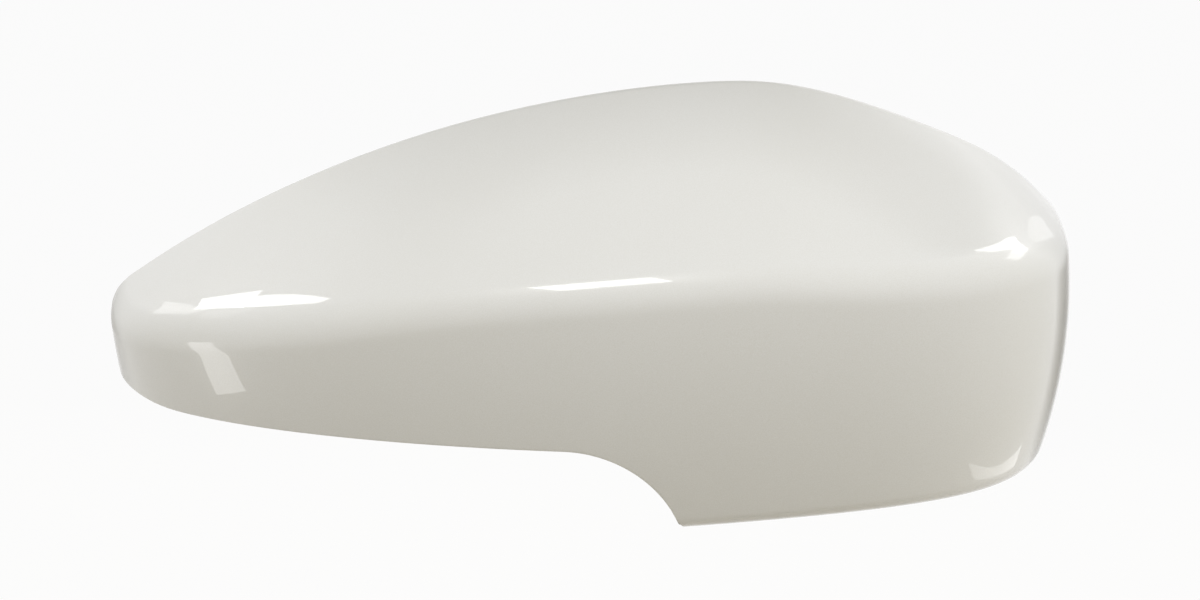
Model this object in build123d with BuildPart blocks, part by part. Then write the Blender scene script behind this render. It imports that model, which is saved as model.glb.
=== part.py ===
from build123d import *
import os
from math import asin, degrees, hypot, sqrt

os.makedirs("parts", exist_ok=True)

# Wing mirror cover: one thin-walled moulding, open at the rear and under the outboard half.
# Millimetres and degrees. +X runs to the tall inboard end, +Y to the open rear, +Z up.
# The origin is on the datum peg's axis, where the peg's round wall ends.

# Skin, seen from above
WALL = 2.5
RIM_Y = 56.0                # peg end to the rim plane, which faces the mirror housing
RIM_TRIM = 1.0              # cut off behind the rim plane, so that the rim is flat
OUTBOARD_END = 125.5        # origin to the tapered end, at the widest level
INBOARD_END = 123.5         # origin to the tall end, at the widest level
DEEPEST_X = 38.0            # where the cover stands furthest forward
DEPTH = 84.0                # rim plane to the foremost point
END_DRAFT = 1.2             # lean of each end wall towards the middle
OUTBOARD_FULLNESS = 0.55    # 0.55 is a quarter of an ellipse
INBOARD_FULLNESS = 0.82     # nearer 1 is a squarer corner

# Crown of the wall
BELT_Z = 6.0                # level at which the cover is widest
CROWN_RISE = 64.0           # height above and below the belt where the crown is measured
CROWN_INSET = 16.0          # how far the wall has drawn in there

# Dome: place along X, height at the rim plane, height at the foremost line
DOME_STATIONS = (
    (-110.0, 11.3, -25.6),
    (-80.0, 27.8, -10.3),
    (-40.0, 43.2, 5.8),
    (0.0, 52.5, 15.3),
    (30.0, 55.9, 19.2),
    (47.0, 55.8, 20.1),
    (62.0, 53.1, 19.6),
    (90.0, 43.6, 18.7),
    (112.0, 31.6, 14.2),
)
DOME_END_REACH = 6.0        # the two end stations lie this far beyond the wall
DOME_OUTBOARD = (-3.8, -43.0)
DOME_INBOARD = (13.5, 2.0)
DOME_CROWN = 2.4            # bulge of the dome between the rim and the foremost line
SHOULDER_R = 11.0           # round between dome and wall
SHOULDER_CHAMFER = 2.6      # flat behind that round, on the inside

# Lower edge: level above the indicator lamp, a hollow arc down to the tip of the foot, then the sole
LAMP_EDGE_Z = -22.8
LAMP_ARC_R = 30.0
LAMP_RISE_X = -103.0        # outboard of this the level edge curves up
LAMP_RISE_R = 60.0
FOOT_TIP_X = 22.6
FOOT_TIP_Z = -43.2
FOOT_SLOPE = 5.5            # degrees, rising inboard
FOOT_CHAMFER = 2.2          # flat between the wall and the sole
SOLE_LIP = 9.0              # width of the sole behind the wall

# Locating pegs: the middle of the end of each round wall
DATUM_PEG = (0.0, 0.0, 0.0)
GUIDE_PEG = (-68.0, 20.0, -4.0)
PEG_R = 3.0
PEG_LENGTH = 10.0
PEG_NOSE = 1.2
PEG_NOSE_TAPER = 30.0
BOSS_R = 5.0
FIN_REACH = 10.0            # peg axis to the outer edge of each fin
FIN_SETBACK = 4.0           # boss end to the rear end of the fins
FIN_THICKNESS = 1.6

# Snap hooks: blades that point to the rear, each on a web with two gussets
HOOK_ROOF_XS = (-80.0, 0.0, 62.0)
HOOK_OUTBOARD_Z = -8.0
HOOK_INBOARD_ZS = (-16.0, 10.0)
HOOK_WIDTH = 12.0
HOOK_THICKNESS = 1.8
HOOK_LENGTH = 16.0
HOOK_GAP = 5.5              # inside of the wall to the blade
HOOK_RIM_GAP = 3.0          # end of the hook to the rim plane
BARB_HEIGHT = 2.0
BARB_LENGTH = 5.0
BARB_RAMP = 3.5
GUSSET_THICKNESS = 1.4
GUSSET_LENGTH = 12.0

# Stiffening ribs across the inside
RIB_XS = (-95.0, -35.0, 30.0, 80.0)
RIB_HEIGHT = 5.0
RIB_THICKNESS = 1.3
RIB_RIM_GAP = 26.0          # end of the rib to the rim plane

# How far cutting and trimming tools reach past the cover
spare = 2 * WALL
far = 2 * (OUTBOARD_END + INBOARD_END)


def wall_points(inset):
    """Control points of the outboard and the inboard half of the plan outline."""
    outboard = inset - OUTBOARD_END
    inboard = INBOARD_END - inset
    front = RIM_Y - DEPTH + inset
    rear = RIM_Y + RIM_TRIM
    first = (
        (outboard, rear),
        (outboard + END_DRAFT, RIM_Y - OUTBOARD_FULLNESS * (DEPTH - inset)),
        (DEEPEST_X - OUTBOARD_FULLNESS * (DEEPEST_X - outboard), front),
        (DEEPEST_X, front),
    )
    second = (
        (DEEPEST_X, front),
        (DEEPEST_X + INBOARD_FULLNESS * (inboard - DEEPEST_X), front),
        (inboard - END_DRAFT, RIM_Y - INBOARD_FULLNESS * (DEPTH - inset)),
        (inboard, rear),
    )
    return first, second


def arch_points(depth, inset):
    """Points of the arch that the dome makes at a depth in front of the rim, moved inwards."""
    stations = (
        (-OUTBOARD_END - DOME_END_REACH, *DOME_OUTBOARD),
        *DOME_STATIONS,
        (INBOARD_END + DOME_END_REACH, *DOME_INBOARD),
    )
    t = depth / DEPTH
    bulge = 4 * DOME_CROWN * t * (1 - t)
    points = [(x, rim + (front - rim) * t + bulge) for x, rim, front in stations]
    moved = []
    for i, (x, z) in enumerate(points):
        before = points[max(i - 1, 0)]
        after = points[min(i + 1, len(points) - 1)]
        run = after[0] - before[0]
        rise = after[1] - before[1]
        length = hypot(run, rise)
        moved.append((x + inset * rise / length, z - inset * run / length))
    return moved


def forward_edges(face):
    """Edges of a face that run in front of the rim plane."""
    return face.edges().filter_by_position(Axis.Y, -far, RIM_Y - spare)


def body(inset):
    """Closed solid in the form of the skin, moved inwards by the inset."""
    with BuildPart() as walls:
        for level in (-1, -0.5, 0, 0.5, 1):
            first, second = wall_points(inset + CROWN_INSET * level**2)
            with BuildSketch(Plane.XY.offset(BELT_Z + CROWN_RISE * level)):
                with BuildLine():
                    Bezier(*first)
                    Bezier(*second)
                    Line(second[-1], first[0])
                make_face()
        loft()
    with BuildPart() as dome:
        floor = BELT_Z - CROWN_RISE - spare
        for depth in (-spare, DEPTH / 4, DEPTH / 2, DEPTH * 3 / 4, DEPTH + spare):
            points = arch_points(depth, inset)
            with BuildSketch(Plane.XZ.offset(depth - RIM_Y)):
                with BuildLine():
                    Spline(*points)
                    Polyline(points[-1], (points[-1][0], floor), (points[0][0], floor), points[0])
                make_face()
        loft()
    sole = Plane((FOOT_TIP_X, 0, FOOT_TIP_Z)).rotated((0, -FOOT_SLOPE, 0)).offset(inset)
    with BuildPart() as solid:
        add(walls.part)
        add(dome.part, mode=Mode.INTERSECT)
        shoulder = forward_edges(solid.faces().sort_by(Axis.Z)[-1])
        if inset:
            chamfer(shoulder, SHOULDER_CHAMFER)
        else:
            fillet(shoulder, SHOULDER_R)
        split(bisect_by=sole, keep=Keep.TOP)
        chamfer(forward_edges(solid.faces().sort_by(Axis.Z)[0]), FOOT_CHAMFER)
    return solid.part


outer = body(0)
cavity = body(WALL)
rib_bed = body(WALL + RIB_HEIGHT)

# Ribs across the inside, cut to their height above the wall and the dome
with BuildPart() as ribs:
    for x in RIB_XS:
        with BuildSketch(Plane.YZ.offset(x)):
            with Locations((RIM_Y - RIB_RIM_GAP - far / 2, 0)):
                Rectangle(far, far)
        extrude(amount=RIB_THICKNESS / 2, both=True)
    add(rib_bed, mode=Mode.SUBTRACT)

# Pegs on bosses with four fins, all of them run on into the wall
with BuildPart() as pegs:
    for x, end, z in (DATUM_PEG, GUIDE_PEG):
        axis = Plane((x, end, z), x_dir=(1, 0, 0), z_dir=(0, -1, 0))
        with BuildSketch(axis) as pin:
            Circle(PEG_R)
        extrude(amount=DEPTH)
        extrude(pin.sketch, amount=-PEG_NOSE, taper=PEG_NOSE_TAPER)
        with BuildSketch(axis.offset(PEG_LENGTH)):
            Circle(BOSS_R)
        extrude(amount=DEPTH)
        with BuildSketch(axis.offset(PEG_LENGTH + FIN_SETBACK)):
            Rectangle(2 * FIN_REACH, FIN_THICKNESS)
            Rectangle(FIN_THICKNESS, 2 * FIN_REACH)
        extrude(amount=DEPTH)

# Snap hooks, each set out from the point where its web leaves the wall
hook_y = RIM_Y - HOOK_RIM_GAP - HOOK_LENGTH
hook_sites = [((x, hook_y, 0), Vector(0, 0, 1)) for x in HOOK_ROOF_XS]
hook_sites += [((0, hook_y, HOOK_OUTBOARD_Z), Vector(-1, 0, 0))]
hook_sites += [((0, hook_y, z), Vector(1, 0, 0)) for z in HOOK_INBOARD_ZS]
blade = -HOOK_GAP
with BuildPart() as hooks:
    for start, outward in hook_sites:
        foot = cavity.find_intersection_points(Axis(start, outward))[-1][0]
        section = Plane(foot, x_dir=(0, 1, 0), z_dir=Vector(0, 1, 0).cross(outward))
        with BuildSketch(section):
            with BuildLine():
                Polyline(
                    (0, spare),
                    (0, blade - HOOK_THICKNESS),
                    (HOOK_LENGTH, blade - HOOK_THICKNESS),
                    (HOOK_LENGTH, blade),
                    (HOOK_LENGTH - BARB_RAMP, blade + BARB_HEIGHT),
                    (HOOK_LENGTH - BARB_LENGTH, blade + BARB_HEIGHT),
                    (HOOK_LENGTH - BARB_LENGTH, blade),
                    (HOOK_THICKNESS, blade),
                    (HOOK_THICKNESS, spare),
                    close=True,
                )
            make_face()
        extrude(amount=HOOK_WIDTH / 2, both=True)
        for side in (-1, 1):
            with BuildSketch(section.offset(side * (HOOK_WIDTH - GUSSET_THICKNESS) / 2)):
                with BuildLine():
                    Polyline((0, spare), (0, blade), (-GUSSET_LENGTH, 0), (-GUSSET_LENGTH, spare), close=True)
                make_face()
            extrude(amount=GUSSET_THICKNESS / 2, both=True)

# The hollow leaves out what stands on the inside of the wall
with BuildPart() as hollow:
    add(cavity)
    add(ribs.part, mode=Mode.SUBTRACT)
    add(pegs.part, mode=Mode.SUBTRACT)
    add(hooks.part, mode=Mode.SUBTRACT)

# The lamp's cut-out curves up outboard, starts its arc level and ends it at the tip of the foot
lamp_drop = LAMP_EDGE_Z - FOOT_TIP_Z
arc_run = sqrt(LAMP_ARC_R**2 - (LAMP_ARC_R - lamp_drop) ** 2)
arc_start = (FOOT_TIP_X - arc_run, LAMP_EDGE_Z)
arc_centre = (arc_start[0], LAMP_EDGE_Z - LAMP_ARC_R)
rise_run = LAMP_RISE_X + OUTBOARD_END + spare
rise_centre = (LAMP_RISE_X, LAMP_EDGE_Z + LAMP_RISE_R)
rise_end = (LAMP_RISE_X - rise_run, rise_centre[1] - sqrt(LAMP_RISE_R**2 - rise_run**2))

# The sole is left as a lip inside the wall
bottom = BELT_Z - CROWN_RISE
sole_draw = CROWN_INSET * ((FOOT_TIP_Z - BELT_Z) / CROWN_RISE) ** 2
lip_first, lip_second = wall_points(sole_draw + WALL + SOLE_LIP)
rear = RIM_Y + RIM_TRIM + spare

with BuildPart() as cover:
    add(outer)
    add(hollow.part, mode=Mode.SUBTRACT)
    with BuildSketch(Plane.XY.offset(bottom)):
        with BuildLine():
            Bezier(*lip_first)
            Bezier(*lip_second)
            Polyline(lip_second[-1], (lip_second[-1][0], rear), (lip_first[0][0], rear), lip_first[0])
        make_face()
    extrude(amount=LAMP_EDGE_Z - bottom, mode=Mode.SUBTRACT)
    with BuildSketch(Plane.XZ.offset(-rear)):
        with BuildLine():
            CenterArc(arc_centre, LAMP_ARC_R, 90, -degrees(asin(arc_run / LAMP_ARC_R)))
            Polyline(
                (FOOT_TIP_X, FOOT_TIP_Z),
                (FOOT_TIP_X, -far),
                (rise_end[0], -far),
                rise_end,
            )
            CenterArc(rise_centre, LAMP_RISE_R, 270, -degrees(asin(rise_run / LAMP_RISE_R)))
            Line((LAMP_RISE_X, LAMP_EDGE_Z), arc_start)
        make_face()
    extrude(amount=far, mode=Mode.SUBTRACT)
    split(bisect_by=Plane.XZ.offset(-RIM_Y), keep=Keep.TOP)

cover.part.label = "mirror_cover"
export_step(cover.part, "parts/mirror_cover.step")
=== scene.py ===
"""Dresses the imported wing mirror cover: a gloss painted shell with hooks, pegs and ribs inside."""

import logging
import math
from abc import ABC, abstractmethod
from collections.abc import Callable
from dataclasses import dataclass, field, replace
from enum import Enum
from typing import Any

import bmesh
import bpy
import numpy as np
from mathutils import Matrix, Vector, kdtree


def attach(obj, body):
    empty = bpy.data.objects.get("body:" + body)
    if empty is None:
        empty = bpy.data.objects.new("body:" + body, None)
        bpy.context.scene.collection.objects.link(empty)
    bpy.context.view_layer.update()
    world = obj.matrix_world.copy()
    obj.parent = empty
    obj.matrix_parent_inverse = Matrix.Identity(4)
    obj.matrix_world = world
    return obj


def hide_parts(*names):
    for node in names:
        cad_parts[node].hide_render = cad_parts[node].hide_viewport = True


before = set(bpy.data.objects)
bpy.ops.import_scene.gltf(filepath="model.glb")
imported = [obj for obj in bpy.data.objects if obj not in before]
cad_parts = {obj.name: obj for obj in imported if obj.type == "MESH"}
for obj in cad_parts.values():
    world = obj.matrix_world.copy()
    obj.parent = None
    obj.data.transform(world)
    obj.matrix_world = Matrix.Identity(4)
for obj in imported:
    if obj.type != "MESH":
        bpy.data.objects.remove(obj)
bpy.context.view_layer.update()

MM = 0.001
BODY = "root"
COVER_NODE = "mirror_cover"
REAR = Vector((0, 1, 0))
WHITE = (1.0, 1.0, 1.0, 1.0)
OUTBOARD, INBOARD = 0.0, 2.0  # ends of the plan outline, as places along it
TINY = 1e-9  # what counts as nothing in a division
SAME = 1e-6  # metres, or a share, that make no difference
SMOOTH_ANGLE = math.radians(35)  # flatter edges are shaded smoothly
SHARP_ANGLE = math.radians(40)  # sharper edges are rounded
ROUND_STEPS = 2  # faces across a round

Array = np.ndarray
Thing = bpy.types.Object
Triple = tuple[float, float, float]
Face = tuple[int, ...]
Seats = tuple[list[Vector], list[Vector], list[Vector]]

log = logging.getLogger("mirror_cover")


def unit(v: Array) -> Array:
    """Vectors along the last axis, made one long."""
    return v / np.maximum(np.linalg.norm(v, axis=-1, keepdims=True), TINY)


def turn(a: Array, b: Array, share: Array | float) -> Array:
    """Turn unit vectors a towards b.

    Args:
        a: vectors at share 0.
        b: vectors at share 1.
        share: how far to turn, from 0 to 1.

    Returns:
        Unit vectors on the arc between them.
    """
    angle = np.arccos(np.clip(np.sum(a * b, axis=-1), -1, 1))
    sine = np.maximum(np.sin(angle), TINY)
    return ((np.sin((1 - share) * angle) / sine)[..., None] * a
            + (np.sin(share * angle) / sine)[..., None] * b)


def lift(xy: Array, z: Array) -> Array:
    """Points from their places in plan and their heights."""
    return np.concatenate([xy, np.broadcast_to(z, xy.shape[:-1])[..., None]], -1)


def run_of(path: Array) -> Array:
    """Distance along a path to each of its points."""
    return np.concatenate([[0], np.cumsum(np.linalg.norm(np.diff(path, axis=0), axis=1))])


class Band(Enum):
    """The strips of the shell from the sole's lip up to the dome, each with its rows of faces."""

    SOLE = 6
    FOOT = 8
    WALL = 36
    SHOULDER = 14


@dataclass(frozen=True)
class ShellForm:
    """One face of the shell in millimetres: a crowned wall, a dome, a round between them and a foot below."""

    base: float = 0.0  # how far inside the outer face
    wall: float = 2.5
    rim_y: float = 56.0
    rim_trim: float = 1.0
    outboard_end: float = 125.5
    inboard_end: float = 123.5
    deepest_x: float = 38.0
    depth: float = 84.0
    end_draft: float = 1.2
    outboard_fullness: float = 0.55
    inboard_fullness: float = 0.82
    belt_z: float = 6.0
    crown_rise: float = 64.0
    crown_inset: float = 16.0
    dome_xs: tuple[float, ...] = (-131.5, -110.0, -80.0, -40.0, 0.0, 30.0, 47.0, 62.0, 90.0, 112.0, 129.5)
    dome_rim: tuple[float, ...] = (-3.8, 11.3, 27.8, 43.2, 52.5, 55.9, 55.8, 53.1, 43.6, 31.6, 13.5)
    dome_front: tuple[float, ...] = (-43.0, -25.6, -10.3, 5.8, 15.3, 19.2, 20.1, 19.6, 18.7, 14.2, 2.0)
    dome_crown: float = 2.4
    shoulder_r: float = 11.0
    lamp_edge_z: float = -22.8
    lamp_arc_r: float = 30.0
    lamp_arc_share: float = 0.999  # most of the radius that the arc runs across
    lamp_rise_x: float = -103.0
    lamp_rise_r: float = 60.0
    lamp_rise_share: float = 0.9
    foot_tip_x: float = 22.6
    foot_tip_z: float = -43.2
    foot_slope: float = 5.5
    foot_r: float = 5.0
    sole_lip: float = 9.0
    tip_search: tuple[float, float] = (0.5, 1.2)
    rim_search: float = 0.02
    settle_steps: int = 60
    settle_share: float = 0.6
    edge_steps: int = 12
    halvings: int = 40
    secants: int = 8

    def plan(self, u: Array, inset: Array | float) -> tuple[Array, Array]:
        """Plan outline, drawn in by an inset.

        Args:
            u: place along the outline, 0 to 1 outboard and 1 to 2 inboard.
            inset: how far the outline is drawn in.

        Returns:
            Points and their derivatives along the outline, each with x and y last.
        """
        u, inset = np.broadcast_arrays(np.asarray(u, float), np.asarray(inset, float))
        run, left, right = self.depth - inset, inset - self.outboard_end, self.inboard_end - inset
        front, rear = self.rim_y - run, np.full_like(inset, self.rim_y + self.rim_trim)
        out, inn = self.outboard_fullness, self.inboard_fullness
        deep = np.full_like(inset, self.deepest_x)
        first = ((left, rear), (left + self.end_draft, self.rim_y - out * run),
                 (deep - out * (deep - left), front), (deep, front))
        second = ((deep, front), (deep + inn * (right - deep), front),
                  (right - self.end_draft, self.rim_y - inn * run), (right, rear))
        t = np.where(u < 1, u, u - 1)
        s = 1 - t
        weights = (s**3, 3 * s * s * t, 3 * s * t * t, t**3)
        slopes = (-3 * s * s, 3 * s * s - 6 * s * t, 6 * s * t - 3 * t * t, 3 * t * t)
        corners = [np.stack([np.where(u < 1, a[k], b[k]) for k in (0, 1)], -1) for a, b in zip(first, second)]
        return (sum(w[..., None] * c for w, c in zip(weights, corners)),
                sum(w[..., None] * c for w, c in zip(slopes, corners)))

    def wall_at(self, u: Array, z: Array | float) -> tuple[Array, Array]:
        """The crowned wall.

        Args:
            u: place along the plan outline.
            z: height.

        Returns:
            Points and outward normals.
        """
        rise = (z - self.belt_z) / self.crown_rise
        inset = self.base + self.crown_inset * rise**2
        lean = 2 * self.crown_inset * rise / self.crown_rise
        xy, along = self.plan(u, inset)
        inward = self.plan(u, inset + 1)[0] - xy
        tilt = lean * (along[..., 0] * inward[..., 1] - along[..., 1] * inward[..., 0])
        return lift(xy, z), unit(np.stack([along[..., 1], -along[..., 0], tilt], -1))

    def crest(self, heights: tuple[float, ...], x: Array) -> tuple[Array, Array]:
        """Smooth curve through the dome's stations.

        Args:
            heights: height at each station.
            x: places along the cover.

        Returns:
            Heights and slopes at x.
        """
        xs, ys = np.array(self.dome_xs), np.array(heights)
        step, last = np.diff(xs), len(xs) - 1
        grade = np.diff(ys) / step
        matrix, right = np.eye(len(xs)), np.zeros(len(xs))
        for i in range(1, last):
            matrix[i, i - 1:i + 2] = step[i - 1], 2 * (step[i - 1] + step[i]), step[i]
            right[i] = 6 * (grade[i] - grade[i - 1])
        bend = np.linalg.solve(matrix, right)
        i = np.clip(np.searchsorted(xs, x) - 1, 0, last - 1)
        t, h = x - xs[i], step[i]
        start = grade[i] - h * (2 * bend[i] + bend[i + 1]) / 6
        third = (bend[i + 1] - bend[i]) / (6 * h)
        return ys[i] + t * (start + t * (bend[i] / 2 + t * third)), start + t * (bend[i] + 3 * t * third)

    def dome_at(self, x: Array, y: Array) -> tuple[Array, Array]:
        """The dome.

        Args:
            x: places along the cover.
            y: places across it.

        Returns:
            Heights and upward normals.
        """
        t = (self.rim_y - y) / self.depth
        rim, rim_grade = self.crest(self.dome_rim, x)
        front, front_grade = self.crest(self.dome_front, x)
        height = rim + (front - rim) * t + 4 * self.dome_crown * t * (1 - t)
        grade_x = rim_grade + (front_grade - rim_grade) * t
        grade_y = -(front - rim + 4 * self.dome_crown * (1 - 2 * t)) / self.depth
        normal = unit(np.stack([-grade_x, -grade_y, np.ones_like(height)], -1))
        return height - self.base / normal[..., 2], normal

    def shoulder(self, u: Array) -> tuple[Array, Array, Array, Array]:
        """A ball that rolls along under the dome and inside the wall.

        Args:
            u: place along the plan outline.

        Returns:
            Height where the ball meets the wall, its centre, the wall's normal and the dome's normal.
        """
        radius = self.shoulder_r - self.base
        z = np.full(np.shape(u), self.belt_z)
        top = np.broadcast_to(np.array([0.0, 0.0, 1.0]), (*np.shape(u), 3))
        for _ in range(self.settle_steps):
            point, side = self.wall_at(u, z)
            centre = point - radius * side
            touch = centre + radius * top
            height, top = self.dome_at(touch[..., 0], touch[..., 1])
            z = z + self.settle_share * (height - radius * top[..., 2] + radius * side[..., 2] - z)
        return z, centre, side, top

    @property
    def sole_up(self) -> Array:
        """Upward normal of the sole."""
        slope = math.radians(self.foot_slope)
        return np.array([-math.sin(slope), 0.0, math.cos(slope)])

    def foot(self, u: Array) -> tuple[Array, Array, Array]:
        """A ball that rolls along on the sole and inside the wall.

        Args:
            u: place along the plan outline.

        Returns:
            Height where the ball meets the wall, its centre and the wall's normal.
        """
        radius = self.foot_r - self.base
        tip = np.array([self.foot_tip_x, 0.0, self.foot_tip_z])
        z = np.full(np.shape(u), self.foot_tip_z + radius)
        for _ in range(self.settle_steps):
            point, side = self.wall_at(u, z)
            centre = point - radius * side
            z = z + self.settle_share * (self.foot_r - (centre - tip) @ self.sole_up)
        return z, centre, side

    @property
    def arc_x(self) -> float:
        """Where the lamp's arc leaves the level edge."""
        drop = self.lamp_edge_z - self.foot_tip_z
        return self.foot_tip_x - math.sqrt(self.lamp_arc_r**2 - (self.lamp_arc_r - drop) ** 2)

    def lamp_edge(self, x: Array) -> Array:
        """Height of the lamp's cut-out.

        Args:
            x: places along the cover.

        Returns:
            Heights.
        """
        reach = np.clip(x - self.arc_x, 0, self.lamp_arc_share * self.lamp_arc_r)
        end = np.clip(self.lamp_rise_x - x, 0, self.lamp_rise_share * self.lamp_rise_r)
        drop = self.lamp_arc_r - np.sqrt(self.lamp_arc_r**2 - reach**2)
        return self.lamp_edge_z - drop + self.lamp_rise_r - np.sqrt(self.lamp_rise_r**2 - end**2)

    def lower_edge(self, u: Array) -> Array:
        """Height of the wall's lower end: the lamp's cut-out, or the round of the foot.

        Args:
            u: place along the plan outline.

        Returns:
            Heights.
        """
        z = np.full(np.shape(u), self.lamp_edge_z)
        for _ in range(self.edge_steps):
            z = self.lamp_edge(self.wall_at(u, z)[0][..., 0])
        return np.maximum(z, self.foot(u)[0])

    def surface(self, band: Band, share: Array, u: Array) -> tuple[Array, Array]:
        """One strip of the shell.

        Args:
            band: which strip.
            share: place across the strip, 0 to 1 upwards.
            u: place along the plan outline.

        Returns:
            Points and outward normals.
        """
        share, u = np.broadcast_arrays(share, u)
        if band is Band.WALL:
            low = self.lower_edge(u)
            return self.wall_at(u, low + share * (self.shoulder(u)[0] - low))
        if band is Band.SHOULDER:
            _, centre, side, top = self.shoulder(u)
            normal = turn(side, top, share)
            return centre + (self.shoulder_r - self.base) * normal, normal
        _, centre, side = self.foot(u)
        radius = self.foot_r - self.base
        down = np.broadcast_to(-self.sole_up, side.shape)
        if band is Band.FOOT:
            normal = turn(side, down, (1 - share) * self.foot_reach(centre, side, down))
            return centre + radius * normal, normal
        heel = centre + radius * down
        draw = self.crown_inset * ((self.foot_tip_z - self.belt_z) / self.crown_rise) ** 2
        lip, _ = self.plan(u, draw + self.wall + self.sole_lip)
        grade = math.tan(math.radians(self.foot_slope))
        level = self.foot_tip_z + (lip[..., 0] - self.foot_tip_x) * grade + self.base * math.hypot(1, grade)
        lip = lift(lip, level)
        return lip + share[..., None] * (heel - lip), down

    def find(self, miss: Callable[[Array], Array], low: Array | float, high: Array | float) -> Array:
        """Where rising quantities pass zero.

        Args:
            miss: function of the places.
            low: places where it is negative.
            high: places where it is positive.

        Returns:
            The places.
        """
        for _ in range(self.halvings):
            middle = (low + high) / 2
            under = miss(middle) < 0
            low, high = np.where(under, middle, low), np.where(under, high, middle)
        return (low + high) / 2

    def foot_reach(self, centre: Array, side: Array, down: Array) -> Array:
        """How much of the foot's round is left by the lamp's cut-out.

        Args:
            centre: centres of the round.
            side: normals of the wall.
            down: normals of the sole.

        Returns:
            Shares of the round, from 0 to 1.
        """
        def cut(share: Array) -> Array:
            """1 where the cut-out takes the round, and -1 elsewhere."""
            x, _, z = np.moveaxis(centre + (self.foot_r - self.base) * turn(side, down, share), -1, 0)
            return np.where((z > self.lamp_edge(x)) | (x > self.foot_tip_x), -1, 1)

        share = self.find(cut, np.zeros(centre.shape[:-1]), np.ones(centre.shape[:-1]))
        return np.where(share > 1 - SAME, 1.0, share)

    def past_tip(self, u: Array) -> Array:
        """How far the sole's edge lies inboard of the foot's tip."""
        heel = self.foot(u)[1] - (self.foot_r - self.base) * self.sole_up
        return heel[..., 0] - self.foot_tip_x

    def past_arc(self, u: Array) -> Array:
        """How far the foot's round starts above the lamp's cut-out."""
        height = self.foot(u)[0]
        return height - self.lamp_edge(self.wall_at(u, height)[0][..., 0])

    def foot_places(self) -> tuple[float, float]:
        """Places along the outline where the foot's round starts, and where the sole does."""
        tip = float(self.find(self.past_tip, *self.tip_search))
        return float(self.find(self.past_arc, self.tip_search[0], tip)), tip

    def rim_places(self, band: Band, share: Array, end: float) -> Array:
        """Places along the outline where rows of a strip reach the rim plane.

        Args:
            band: which strip.
            share: rows of the strip.
            end: OUTBOARD or INBOARD.

        Returns:
            One place for each row.
        """
        before = np.full(share.shape, end)
        now = before + (self.rim_search if end == OUTBOARD else -self.rim_search)
        miss = self.surface(band, share, before)[0][..., 1] - self.rim_y
        for _ in range(self.secants):
            new_miss = self.surface(band, share, now)[0][..., 1] - self.rim_y
            change = np.where(np.abs(new_miss - miss) < TINY, 1.0, new_miss - miss)
            before, now, miss = now, now - new_miss * (now - before) / change, new_miss
        return now


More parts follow.
